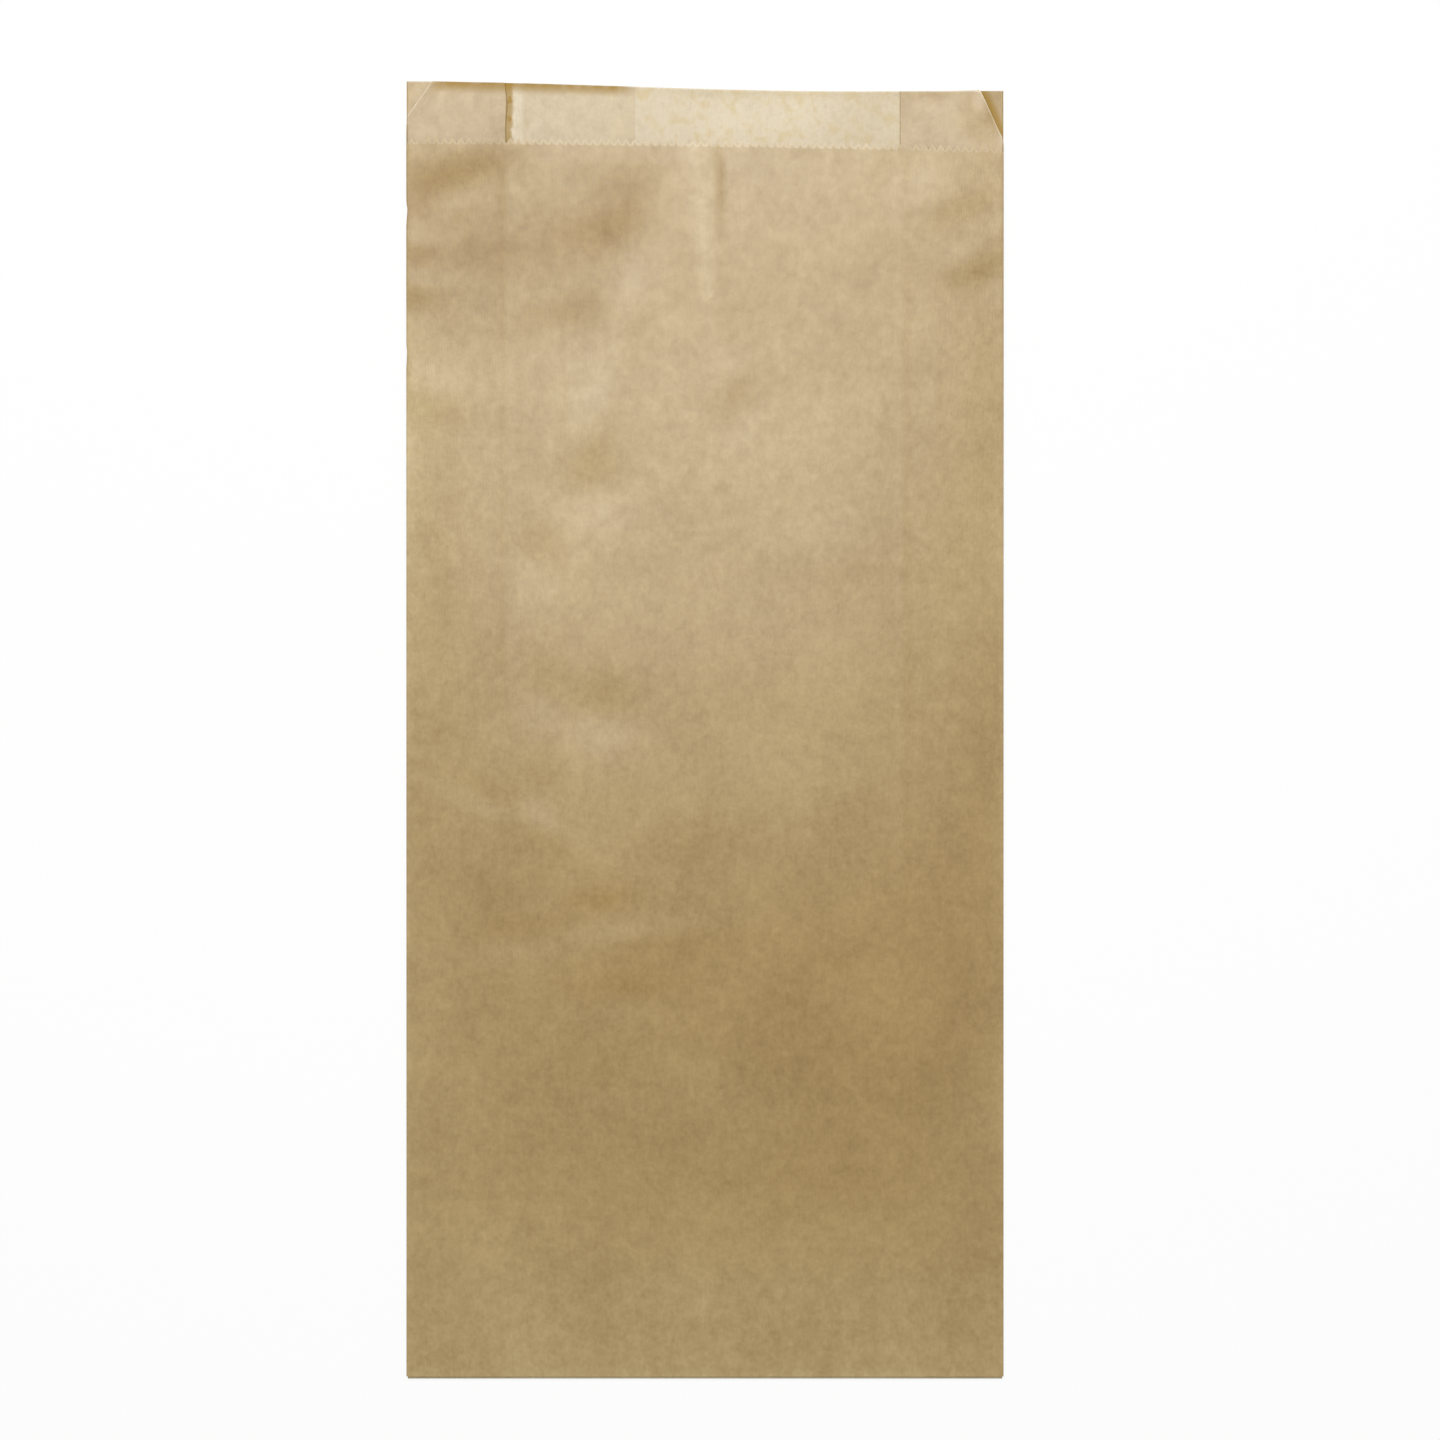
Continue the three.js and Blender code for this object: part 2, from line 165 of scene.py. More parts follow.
# Painted shade on the front panel's outside, and painted highlights where the depth is below 0:
# soft patches that stand in for the sheen and the shading of its sags, creases and folds: place, half
# sizes, turn and depth
Shade = namedtuple("Shade", "x y across along turn depth")
SHADES = (
    # Beside the left side fold, from the mouth down
    Shade(-57, 144, 14, 5, 8, 0.38),
    Shade(-72, 134, 8, 7, 20, 0.55),
    Shade(-72, 118, 5, 3, 20, 0.3),
    Shade(-72, 110, 7, 4, 0, 0.2),
    Shade(-75, 76, 6, 42, 0, -0.32),
    Shade(-74, 66, 8, 24, 0, -0.2),
    # Left of the crease
    Shade(-30, 137, 26, 8, 0, 0.14),
    Shade(-22, 136, 14, 12, 0, 0.3),
    Shade(-13, 124, 7, 10, 0, 0.14),
    Shade(-55, 122, 26, 11, 4, 0.44),
    Shade(-25, 121, 10, 7, 0, 0.2),
    Shade(-35, 109, 18, 10, 0, 0.16),
    Shade(-19, 108, 5, 28, -23, -0.22),
    Shade(-24, 101, 11, 8, 0, 0.24),
    Shade(-56, 101, 24, 8, 0, 0.1),
    Shade(-31, 82, 7, 8, -20, -0.15),
    # The crease: painted highlight on its ridge and painted shade in the furrow beside it
    Shade(-0.5, 147, 2.5, 4, 0, -0.3),
    Shade(4, 146, 8, 4, 0, -0.22),
    Shade(4.2, 137, 1.1, 10, -4, 0.42),
    Shade(-0.6, 127, 2.3, 26, 4, -0.4),
    # Right of the crease
    Shade(72, 156, 3, 7, 0, 0.6),
    Shade(45, 144, 8, 4, 0, -0.14),
    Shade(12, 115, 70, 14, 0, 0.16),
    Shade(6, 101, 8, 7, 0, 0.16),
    Shade(28, 92, 24, 12, 0, 0.12),
    # Round the middle of the panel
    Shade(5, 42, 45, 11, 0, 0.12),
    Shade(0, 14, 60, 14, 0, 0.09),
    Shade(16, 5, 28, 10, 0, 0.12),
    Shade(60, -15, 22, 42, 0, 0.13),
    Shade(-52, -18, 26, 13, 0, 0.09),
    Shade(-53, -41, 13, 8, -15, 0.14),
    Shade(-26, -42, 8, 2.5, 6, 0.24),
    # The lower part
    Shade(8, -58, 110, 44, 0, 0.24),
    Shade(-17, -64, 14, 4, 4, 0.15),
    Shade(48, -85, 36, 40, 0, 0.16),
    Shade(-3, -92, 22, 8, 0, -0.12),
    Shade(20, -118, 90, 17, 0, 0.16),
    Shade(-72, -158, 12, 10, 0, -0.14),
    Shade(0, -160, 110, 12, 0, -0.18),
    # Painted highlight along the bottom fold and the side folds
    Shade(0, -163, 110, 0.8, 0, -0.4),
    Shade(-75, -20, 0.5, 200, 0, -0.3),
    Shade(75, -20, 0.5, 200, 0, -0.3),
)
SHADE_TINT = (0.65, 0.5, 0.1)  # what a patch of depth 1 would leave of each colour
DULL_FROM = (20 * MM, 80 * MM)  # stretch over which dark patches start to lose their sheen

# Folds and edges below the front panel that show through it as faint lines: where they are,
# where they end, half width and height, in mm
Line = namedtuple("Line", "x low high width height")
LINES = (
    Line(-49.6, 0, 146, 1.2, 0.12),
    Line(-34.3, -34, 140, 1.1, 0.1),
    Line(49.4, -60, 146, 1.1, 0.09),
)
LINE_LOW_FADE = 20  # length over which a line starts at its low end, in mm
LINE_HIGH_FADE = 10  # and over which it ends at its high end

# Small nicks in the left side fold: place and half height, and how far they reach in, in mm
NICKS = ((130.2, 1.6, 0.3), (94.2, 1.4, 0.22))

# How the gussets and the lip lift at the mouth, in mm: place, half sizes and height
LEAF_LIFTS = (
    Dent(-51, 156, 4, 9, 0, 0.25),
    Dent(69.5, 157, 4.5, 6, 0, 1.1),
)
LEAF_REST_START = 2 * MM  # from the side fold to where a gusset's leaves start to come down
LEAF_REST = 17 * MM  # from the side fold to where they rest on the back panel
LEAF_HOLD = 4 * MM  # width beside the side fold in which the front leaf is held down
LIP_CURL = 0.15 * MM  # how far the cut edge of the lip bends up
LIP_CURL_RUN = 3 * MM
LIP_CURL_LEVEL = 0.6  # its even part; the rest comes and goes along the lip
LIP_WAVES = ((0.25, 9 * MM, 1), (0.15, 4.1 * MM, 0))  # share, length and start of each wave
FOLD_WANDER = 0.35 * MM  # how far the left gusset's inner fold strays from a straight line
FOLD_WANDER_FROM = (120 * MM, 145 * MM)  # height over which it starts to stray
FOLD_WAVES = ((0.5, 1.9 * MM, 0), (0.5, 3.1 * MM, 2))

# How finely the sheet is divided
CUT_STRIP = 0.4 * MM  # height of the last strip of faces below a cut edge
BODY_ROWS = 152
MOUTH_ROWS = 13
MOUTH_ZONE = 6 * MM  # height of the mouth's rows below the front panel's notches
MOUTH_BUNCHING = 1.5  # a higher number moves those rows towards the cut
FOLD_SIDES = 8
LEAF_COLUMNS = 8
CLIP_COLUMNS = 4
BACK_COLUMNS = 20
TURN_SIDES = 10
TONGUE_ROWS = 7

# The paper's patterns: the size of a grain across and along the bag in mm, and the noise's
# detail, roughness and distortion
Pattern = namedtuple("Pattern", "across along detail roughness distortion")
PATTERNS = {
    "grain": Pattern(1.1, 1.3, 3, 0.6, 0),
    "fibre": Pattern(0.35, 3.5, 2, 0.5, 0),
    "streak": Pattern(1.6, 60, 2, 0.5, 0),
    "mottle": Pattern(2.4, 3, 2, 0.5, 0),
    "cloud": Pattern(5, 6, 4, 0.6, 0.6),
    "blotch": Pattern(24, 34, 3, 0.5, 0),
}

# The share of each pattern in the paper's tone, roughness, relief and pulp
TONE = {"grain": 0.4, "fibre": 0.17, "streak": 0.06, "mottle": 0.36, "cloud": 0.46, "blotch": 0.5}
TONE_DARK = (0.61, 0.51, 0.26)
TONE_LIGHT = (1.39, 1.49, 1.74)
UNEVEN = {"grain": 0.12, "mottle": -0.05, "cloud": -0.08}
RELIEF = {"grain": 0.6, "fibre": 0.6, "cloud": 0.8}
RELIEF_HEIGHT = 0.12 * MM
RELIEF_STRENGTH = 0.35
PULP = {"cloud": 2.8, "mottle": 2.4}
PULP_SHARE = 0.65

# Marks on the paper. Each pair of numbers is the stretch over which a mark fades in or out.
PULP_FADE = (-0.25, 0.7)
PULP_FROM = (-44 * MM, -15 * MM)  # across the bag
TORN_FADE = (0.05 * MM, 0.42 * MM)  # from a cut edge
TORN_LEVEL = 0.8  # how strongly the torn fibres and their painted highlight show, before the pattern of fibres is added
TORN_INSIDE = 0.6  # the share of that on the inside, and on the outside
TORN_OUTSIDE = 0.25
TORN_BETWEEN = ((-50 * MM, -44 * MM), (44 * MM, 50 * MM))  # the stretch between the gussets
TORN_BETWEEN_MORE = 0.2  # how much more they show there on the outside
# The painted shade along the lip's curled edge, left of its middle
BAND_FADE = (0.1 * MM, 3.2 * MM)  # from the lip's edge
BAND_SIDES = ((-70 * MM, -66 * MM), (-23 * MM, -16 * MM))
BAND_FOOT = (157 * MM, 158 * MM)
BAND_LEVEL = 0.9  # how strongly the band shows, before the mottle is added
BAND_MOTTLE = 1.2
# The painted shadow beside the left gusset's inner fold, and spots of dried paste
STAIN_SIDES = ((-50.5 * MM, -50 * MM), (-49 * MM, -48 * MM))
STAIN_FOOT = (128 * MM, 134 * MM)
STAIN_RAGGED = 1.6 * MM  # how far its right side strays
STAIN_STRENGTH = 0.75
STAIN_SPOTS = ((-49.2 * MM, 158.3 * MM), (-49.2 * MM, 153.8 * MM))  # dried paste
STAIN_SPOT_HALF = (0.9 * MM, 1.3 * MM)
STAIN_SPOT_RAGGED = 2.5  # how much the grain breaks up a spot's edge
STAIN_SPOT_FADE = (0, 1.7)
CLIP_FADE = ((-0.4 * MM, 0), (0.4 * MM, 2.6 * MM))  # from the right gusset's clipped corner, for the painted shadow along it
CLIP_SIDE = (67 * MM, 69 * MM)
CLIP_FOOT = (147 * MM, 150 * MM)
CLIP_STRENGTH = 0.9
SEAM_LINE_INSET = 0.15 * MM
SEAM_LINE_HALF = 0.35 * MM
SEAM_LINE_STRENGTH = 0.12

# How much rougher each mark makes the paper
PULP_ROUGH = 0.1
STAIN_ROUGH = 0.35
BAND_ROUGH = 0.3
CLIP_ROUGH = 0.35
DULL_ROUGH = 0.16
SPECULAR = 0.7

# The stage: the camera looks straight down on the front of the bag
CAMERA_PLACE = (3.77 * MM, 2.51 * MM, 1.006)
CAMERA_LENS = 100  # mm, as is the sensor's width
CAMERA_SENSOR = 36
LAMP_PLACE = (-0.04, 0.44, 1.0)
LAMP_AIM = (0, 0, 0)
LAMP_SIZE = (0.9, 0.6)
FLOOR_DROP = 0.05 * MM
FLOOR_HALF = 3.0
FLOOR_WHITE = 0.88  # how much of the floor the camera sees as plain white

# The unfolded sheet, round the tube and along it
SHEET_SPAN = 0.9  # metres that the texture map's unit square spans

SMOOTH_ANGLE = math.radians(40)


def smoothstep(value, low, high):
    part = np.clip((value - low) / (high - low), 0, 1)
    return part * part * (3 - 2 * part)


def waves(place, parts):
    return sum(share * np.sin(place / length + start) for share, length, start in parts)


def corner(x):
    """Width and drop of the clipped corner on the side of the bag where x is."""
    if x < 0:
        return CORNER_WIDTH_LEFT, CORNER_DROP_LEFT
    return CORNER_WIDTH_RIGHT, CORNER_DROP_RIGHT


def length_setting(name, description, default):
    return FloatProperty(name=name, description=description, default=default, unit="LENGTH")


def colour_setting(name, description, default):
    return FloatVectorProperty(
        name=name, description=description, default=default, subtype="COLOR", min=0, max=1
    )


class BagSizes(bpy.types.PropertyGroup):
    """Sizes of the folded bag."""

    paper: FloatProperty(
        name="Paper",
        description="Thickness of the sheet",
        default=0.1 * MM,
        unit="LENGTH",
        precision=5,
    )
    width: length_setting("Width", "From side fold to side fold", CAD_WIDTH)
    length: length_setting(
        "Length", "From the bottom fold to the lip's edge, on the left", CAD_LENGTH
    )
    gusset_left: length_setting(
        "Left gusset", "From the left side fold in to the gusset's own fold", 25 * MM
    )
    gusset_right: length_setting(
        "Right gusset", "From the right side fold in to the gusset's own fold", 26 * MM
    )
    lip: length_setting(
        "Lip", "From the middle of the teeth to the lip's edge, on the left", 15 * MM
    )
    tooth: length_setting(
        "Tooth depth", "From the notches of the cut edge to its points", 1.5 * MM
    )
    seam_lap: length_setting("Seam lap", "How far the seam's two plies lap", 27.6 * MM)
    tongue: length_setting(
        "Tongue", "From the bottom fold to the middle of the tongue's teeth", 15 * MM
    )
    belly: length_setting("Belly", "Rise of the front panel where the bag is fullest", 5 * MM)
    mouth: length_setting("Mouth", "Rise of the front panel at its edge", 3.4 * MM)


class BagPaper(bpy.types.PropertyGroup):
    """Colours and finish of the kraft paper."""

    outside: colour_setting(
        "Outside", "Colour of the outside of the paper", (0.385, 0.264, 0.104)
    )
    inside: colour_setting(
        "Inside",
        "Colour of the inside of the paper, where more plies lie below it",
        (0.385, 0.266, 0.110),
    )
    # Painted light: the single ply is given a paler colour where light from the pale table would come
    # through it, and its denser pulp shows darker there
    thin: colour_setting(
        "Single ply",
        "Colour of the inside where the pale table shows through one ply",
        (0.51, 0.416, 0.255),
    )
    pulp: colour_setting("Pulp", "Colour of the denser pulp in that ply", (0.46, 0.335, 0.135))
    # Also the colour of the painted highlight where cut edges catch light
    fibre: colour_setting(
        "Cut fibres", "Colour of the torn fibres along a cut edge", (0.70, 0.60, 0.42)
    )
    # Ochre is used for dried paste, and for painted shade along the lip's curled edge and painted shadow
    # beside the left gusset's fold and along the right gusset's clipped corner
    ochre: colour_setting(
        "Ochre stain",
        "Colour of paste stains and of the browned edge of the lip",
        (0.34, 0.2, 0.03),
    )
    roughness: FloatProperty(
        name="Roughness", description="Roughness of the paper's surface", default=0.4, min=0, max=1
    )


class BagStage(bpy.types.PropertyGroup):
    """Floor, light and camera."""

    floor: colour_setting("Floor", "Colour of the floor", (0.85, 0.85, 0.84))
    lamp: FloatProperty(
        name="Lamp", description="Power of the soft lamp", default=11.85, min=0, unit="POWER"
    )
    ambient: FloatProperty(
        name="Ambient", description="Strength of the even light from all round", default=0.3, min=0
    )


class BagShape:
    """Heights, cuts and folds of the bag, from its sizes. Places are in metres."""

    def __init__(self, sizes):
        self.sizes = sizes
        self.half_width = sizes.width / 2
        self.bottom = -sizes.length / 2
        self.top = sizes.length / 2
        self.flat_end = self.half_width - sizes.paper / 2 - FOLD_REACH
        self.ply_step = sizes.paper + PLY_GAP
        self.tongue_end = self.bottom + sizes.tongue
        self.seam_outer_edge = SEAM_EDGE - sizes.seam_lap
        self.left_inner = sizes.gusset_left - self.half_width - sizes.paper / 2 - FOLD_REACH
        self.right_inner = self.half_width - sizes.gusset_right + sizes.paper / 2 + FOLD_REACH
        self.turn_radius = (self.ply_height(3, self.bottom) - sizes.paper / 2) / 2
        self.turn = self.bottom + sizes.paper / 2 + self.turn_radius
        self.mouth_foot = self.notches(self.half_width) - TOOTH_ROOT - MOUTH_ZONE

    def lip_edge(self, x):
        """Height of the lip's cut edge."""
        return self.top - LIP_FALL * smoothstep(x, -self.half_width, LIP_FALL_RUN - self.half_width)

    def front_edge(self, x):
        """Height of the middle of the front panel's teeth."""
        fall = FRONT_FALL * (x + self.half_width) / self.sizes.width
        return self.top - self.sizes.lip - fall

    def notches(self, x):
        return self.front_edge(x) - self.sizes.tooth / 2

    def leaf_edge(self, x):
        """Height of the cut of a gusset's front leaf, with its clipped corner."""
        width, drop = corner(x)
        clipped = min(max((abs(x) - self.half_width + width) / width, 0), 1)
        return self.lip_edge(x) - drop * clipped

    def fold_step(self, y):
        """Height from ply to ply at the side folds."""
        up = np.clip((y - self.bottom) / self.sizes.length, 0, 1)
        return FOLD_STEP_BOTTOM + (FOLD_STEP_MOUTH - FOLD_STEP_BOTTOM) * up

    def ply_height(self, ply, y):
        """Middle of a ply's thickness at the side folds: 0 is the back, 3 the front."""
        past = np.clip((y - self.tongue_end - self.sizes.tooth) / TONGUE_RAMP, 0, 1)
        back = self.sizes.paper / 2 + self.ply_step * (1 - past)
        return back + ply * self.fold_step(y)

    def lip_curl(self, x, y):
        """How far the lip's plies bend up together towards their cut edge."""
        near = smoothstep(y, self.lip_edge(x) - LIP_CURL_RUN, self.lip_edge(x))
        return LIP_CURL * near**2 * (LIP_CURL_LEVEL + waves(x, LIP_WAVES))

    def back_right(self, x, y):
        return self.ply_height(0, y) + self.lip_curl(x, y)

    def back_left(self, x, y):
        """The inner ply of the seam, which climbs onto the outer one."""
        start = self.seam_outer_edge - SEAM_RAMP - self.ply_step
        return self.back_right(x, y) + self.ply_step * np.clip((x - start) / SEAM_RAMP, 0, 1)

    def settle(self, x, y):
        """How far each ply of a gusset comes down onto the one below, away from the side fold."""
        inward = smoothstep(self.half_width - np.abs(x), LEAF_REST_START, LEAF_REST)
        return (self.fold_step(y) - self.ply_step) * inward

    def back_leaf(self, x, y):
        return self.ply_height(1, y) - self.settle(x, y) + self.lip_curl(x, y)

    def front_leaf(self, x, y):
        lift = sum(bump(mark, x, y) for mark in LEAF_LIFTS)
        held = 1 - smoothstep(np.abs(x), self.flat_end - LEAF_HOLD, self.flat_end)
        return self.ply_height(2, y) - 2 * self.settle(x, y) + self.lip_curl(x, y) + lift * held

    def front(self, x, y):
        return self.ply_height(3, y) + self.front_rise(x, y)

    def front_rise(self, x, y):
        """How far the front panel stands over its height at the side folds."""
        sizes = self.sizes
        belly = self.bottom + BELLY_AT
        filling = sizes.belly * smoothstep(y, self.bottom + RISE_START, belly)
        closing = (sizes.belly - sizes.mouth) * smoothstep(y, belly, self.top - sizes.lip)
        arch = (filling - closing) * (1 - np.abs(x / self.flat_end) ** RISE_ROUNDNESS)
        down = np.clip((self.front_edge(0) - y) / CREASE_LENGTH, 0, 1)
        off = (x - CREASE_AT - CREASE_LEAN * down) / CREASE_WIDTH
        ridge = np.exp(-(off**2)) - np.exp(-((off - 2) ** 2)) * (1 - down) ** 2
        crease = CREASE_HEIGHT * (1 - down) * ridge
        droop = EDGE_DROOP * smoothstep(y, self.front_edge(x) - EDGE_DROOP_RUN, self.front_edge(x))
        droop = droop * np.exp(-(((x - EDGE_DROOP_AT) / EDGE_DROOP_HALF) ** 2))
        marks = sum(bump(mark, x, y) for mark in DENTS) + sum(lean(mark, x, y) for mark in TILTS)
        marks += sum(show_through(line, x, y) for line in LINES)
        fade = smoothstep(y, self.bottom, self.bottom + RISE_START)
        rise = arch + crease - droop + marks * fade
        return (rise + np.sqrt(rise**2 + RISE_FLOOR**2)) / 2


def spot(mark, x, y):
    """1 in the middle of a mark, and nothing far outside its half sizes."""
    turn = math.radians(mark.turn)
    right = x - mark.x * MM
    up = y - mark.y * MM
    across = (right * math.cos(turn) + up * math.sin(turn)) / (mark.across * MM)
    along = (up * math.cos(turn) - right * math.sin(turn)) / (mark.along * MM)
    return np.exp(-(across**2) - along**2)


def bump(mark, x, y):
    return mark.height * MM * spot(mark, x, y)


def lean(mark, x, y):
    towards = (x - mark.x * MM) * TOWARDS_LAMP[0] + (y - mark.y * MM) * TOWARDS_LAMP[1]
    return -mark.slope * towards * spot(mark, x, y)


def show_through(line, x, y):
    starts = smoothstep(y, line.low * MM, (line.low + LINE_LOW_FADE) * MM)
    ends = smoothstep(y, (line.high - LINE_HIGH_FADE) * MM, line.high * MM)
    across = np.exp(-(((x - line.x * MM) / (line.width * MM)) ** 2))
    return line.height * MM * starts * (1 - ends) * across


# One line of the sheet from the bottom fold to the mouth: a function from heights to its places
# across and up, the heights where it is cut and where its last row starts, how the cut slants
# (1 where it is square), and how much painted light from the pale table below shows through there.
Column = namedtuple("Column", "place cut root slant glow")


class Tube:
    """The columns of the sheet, in their order round the tube."""

    def __init__(self, shape):
        self.shape = shape
        self.columns = []

    def add_panel(self, places, height, cut, slant=None, glow=0):
        """A flat stretch with a column at each of the places."""
        for x in places:
            self.columns.append(
                Column(
                    place=lambda y, x=x: (np.full_like(y, x), height(x, y)),
                    cut=cut(x),
                    root=cut(x) - CUT_STRIP,
                    slant=slant(x) if slant else 1,
                    glow=glow,
                )
            )

    def add_fold(self, centre, side, below, above, goes_up, cuts, strays=None):
        """The rounding between two plies, about the line x = centre. It bulges to the side."""
        for step in range(1, FOLD_SIDES):
            turned = math.pi * step / FOLD_SIDES
            angle = turned - math.pi / 2 if goes_up else math.pi / 2 - turned

            def place(y, angle=angle):
                low = below(centre, y)
                high = above(centre, y)
                stray = strays(y) if strays else np.zeros_like(y)
                x = centre + side * (FOLD_REACH + stray) * math.cos(angle)
                return x, (low + high) / 2 + (high - low) / 2 * math.sin(angle)

            cut = cuts[0] + (cuts[1] - cuts[0]) * step / FOLD_SIDES
            self.columns.append(Column(place=place, cut=cut, root=cut - CUT_STRIP, slant=1, glow=0))

    def add_front(self):
        """The front panel, with two columns to a tooth, up to the notches."""
        shape = self.shape
        for step in range(2 * TEETH + 1):
            x = shape.flat_end * (1 - step / TEETH)
            notch = shape.notches(x)
            self.columns.append(
                Column(
                    place=lambda y, x=x: (np.full_like(y, x), shape.front(x, y)),
                    cut=notch,
                    root=notch - TOOTH_ROOT,
                    slant=1,
                    glow=0,
                )
            )


def nick(y):
    """How far the left side fold is nicked in."""
    return -sum(deep * MM * np.exp(-(((y - at * MM) / (half * MM)) ** 2)) for at, half, deep in NICKS)


def wander(y):
    """How far the left gusset's inner fold strays near the mouth."""
    return FOLD_WANDER * waves(y, FOLD_WAVES) * smoothstep(y, *FOLD_WANDER_FROM)


def bag_tube(shape):
    """The tube from the seam's outer ply round to its inner ply, and where the front starts."""
    end = shape.flat_end
    left = shape.left_inner
    right = shape.right_inner
    lip = shape.lip_edge
    leaf = shape.leaf_edge

    def clip_slant(x):
        width, drop = corner(x)
        if abs(x) < shape.half_width - width:
            return 1
        return width / math.hypot(width, drop)

    def spread(start, stop, count):
        return np.linspace(start, stop, count + 1)

    right_clip = shape.half_width - CORNER_WIDTH_RIGHT
    left_clip = CORNER_WIDTH_LEFT - shape.half_width
    climb = shape.seam_outer_edge - shape.ply_step - SEAM_RAMP
    notch_right = shape.notches(shape.half_width)
    notch_left = shape.notches(-shape.half_width)
    tube = Tube(shape)
    back = spread(shape.seam_outer_edge, end, BACK_COLUMNS)
    tube.add_panel(back, shape.back_right, lip, glow=1)
    tube.add_fold(end, 1, shape.back_right, shape.back_leaf, True, (lip(end), lip(end)))
    tube.add_panel(spread(end, right, LEAF_COLUMNS), shape.back_leaf, lip)
    tube.add_fold(right, -1, shape.back_leaf, shape.front_leaf, True, (lip(right), lip(right)))
    inward = spread(right, right_clip, LEAF_COLUMNS)[:-1]
    clipped = spread(right_clip, end, CLIP_COLUMNS)
    tube.add_panel([*inward, *clipped], shape.front_leaf, leaf, slant=clip_slant)
    tube.add_fold(end, 1, shape.front_leaf, shape.front, True, (leaf(end), notch_right))
    first = len(tube.columns)
    tube.add_front()
    last = len(tube.columns) - 1
    tube.add_fold(-end, -1, shape.front_leaf, shape.front, False, (notch_left, leaf(-end)), nick)
    clipped = spread(-end, left_clip, CLIP_COLUMNS)
    inward = spread(left_clip, left, LEAF_COLUMNS)[1:]
    tube.add_panel([*clipped, *inward], shape.front_leaf, leaf, slant=clip_slant)
    tube.add_fold(left, 1, shape.back_leaf, shape.front_leaf, False, (lip(left), lip(left)), wander)
    tube.add_panel(spread(left, -end, LEAF_COLUMNS), shape.back_leaf, lip)
    tube.add_fold(-end, -1, shape.back_right, shape.back_leaf, False, (lip(-end), lip(-end)), nick)
    tube.add_panel(spread(-end, climb, LEAF_COLUMNS), shape.back_left, lip, glow=1)
    lap = spread(climb + SEAM_RAMP, SEAM_EDGE, LEAF_COLUMNS)
    tube.add_panel(lap, shape.back_left, lip, glow=0.5)
    return tube.columns, first, last


class Sheet:
    """A surface through the middle of the paper, and what its points carry."""

    def __init__(self):
        self.points = []
        self.maps = []  # place on the unfolded sheet
        self.to_edge = []  # distance from the nearest cut edge
        self.glow = []  # how much painted light from the pale table shows through
        self.faces = []

    def add_line(self, points, maps, to_edge, glow):
        """Adds a line of points and returns their numbers."""
        start = len(self.points)
        self.points.extend(points)
        self.maps.extend(maps)
        self.to_edge.extend(to_edge)
        self.glow.extend([glow] * len(points))
        return list(range(start, len(self.points)))

    def add_strip(self, line, other):
        """Fills the strip between two lines of as many points, seen with `other` on the right."""
        for i in range(len(line) - 1):
            self.faces.append((line[i], line[i + 1], other[i + 1], other[i]))

    def add_teeth(self, edge, points, maps, turned):
        """Adds a tooth past every other point of a cut edge."""
        for i, (point, place) in enumerate(zip(points, maps)):
            first, middle, last = edge[2 * i : 2 * i + 3]
            self.to_edge[middle] = TOOTH_BODY
            (tip,) = self.add_line([point], [place], [0], 0)
            for corners in ((first, tip, middle), (middle, tip, last)):
                self.faces.append(corners[::-1] if turned else corners)

    def normals(self):
        points = np.array(self.points)
        faces = np.array([(*face, face[-1])[:4] for face in self.faces])
        a, b, c, d = (points[faces[:, i]] for i in range(4))
        facing = np.cross(c - a, d - b)
        total = np.zeros_like(points)
        for i in range(4):
            np.add.at(total, faces[:, i], facing)
        return total / np.linalg.norm(total, axis=1)[:, None]

    def rim(self):
        """The directed edges that only one face has."""
        edges = set()
        for face in self.faces:
            edges.update(zip(face, (*face[1:], face[0])))
        return sorted(edge for edge in edges if (edge[1], edge[0]) not in edges)


def bag_sheet(shape):
    """The folded sheet, from the seam round to the seam, with the tongue under its bottom."""
    columns, first, last = bag_tube(shape)
    body = np.linspace(shape.turn, shape.mouth_foot, BODY_ROWS + 1)
    mouth = 1 - (1 - np.arange(1, MOUTH_ROWS + 1) / MOUTH_ROWS) ** MOUTH_BUNCHING
    places = []
    for column in columns:
        above = shape.mouth_foot + (column.root - shape.mouth_foot) * mouth
        y = np.concatenate([body, above, [column.cut]])
        x, z = column.place(y)
        places.append(np.column_stack([x, y, z]))

    # How far round the unfolded sheet each column is, measured half way up
    middle = BODY_ROWS // 2
    steps = [np.linalg.norm(b[middle] - a[middle]) for a, b in zip(places, places[1:])]
    around = np.concatenate([[0], np.cumsum(steps)])

    sheet = Sheet()
    lines = []
    for column, points, round_at in zip(columns, places, around):
        y = points[:, 1]
        maps = np.column_stack([np.full_like(y, round_at), y - shape.bottom + shape.sizes.tongue])
        to_edge = np.clip((column.cut - y) * column.slant, 0, None)
        lines.append(sheet.add_line(points, maps, to_edge, column.glow))
    for line, other in zip(lines, lines[1:]):
        sheet.add_strip(line, other)
    front = lines[first : last + 1]
    add_mouth_teeth(sheet, shape, [line[-1] for line in front])
    add_tongue(sheet, shape, [line[0] for line in front])
    return sheet


def add_mouth_teeth(sheet, shape, edge):
    """The teeth of the front panel, along the points of its edge."""
    points = []
    for number in edge[1::2]:
        x, y, _ = sheet.points[number]
        points.append((x, y + shape.sizes.tooth, shape.front(x, y + shape.sizes.tooth)))
    maps = [sheet.maps[number] + np.array([0, shape.sizes.tooth]) for number in edge[1::2]]
    sheet.add_teeth(edge, points, maps, False)


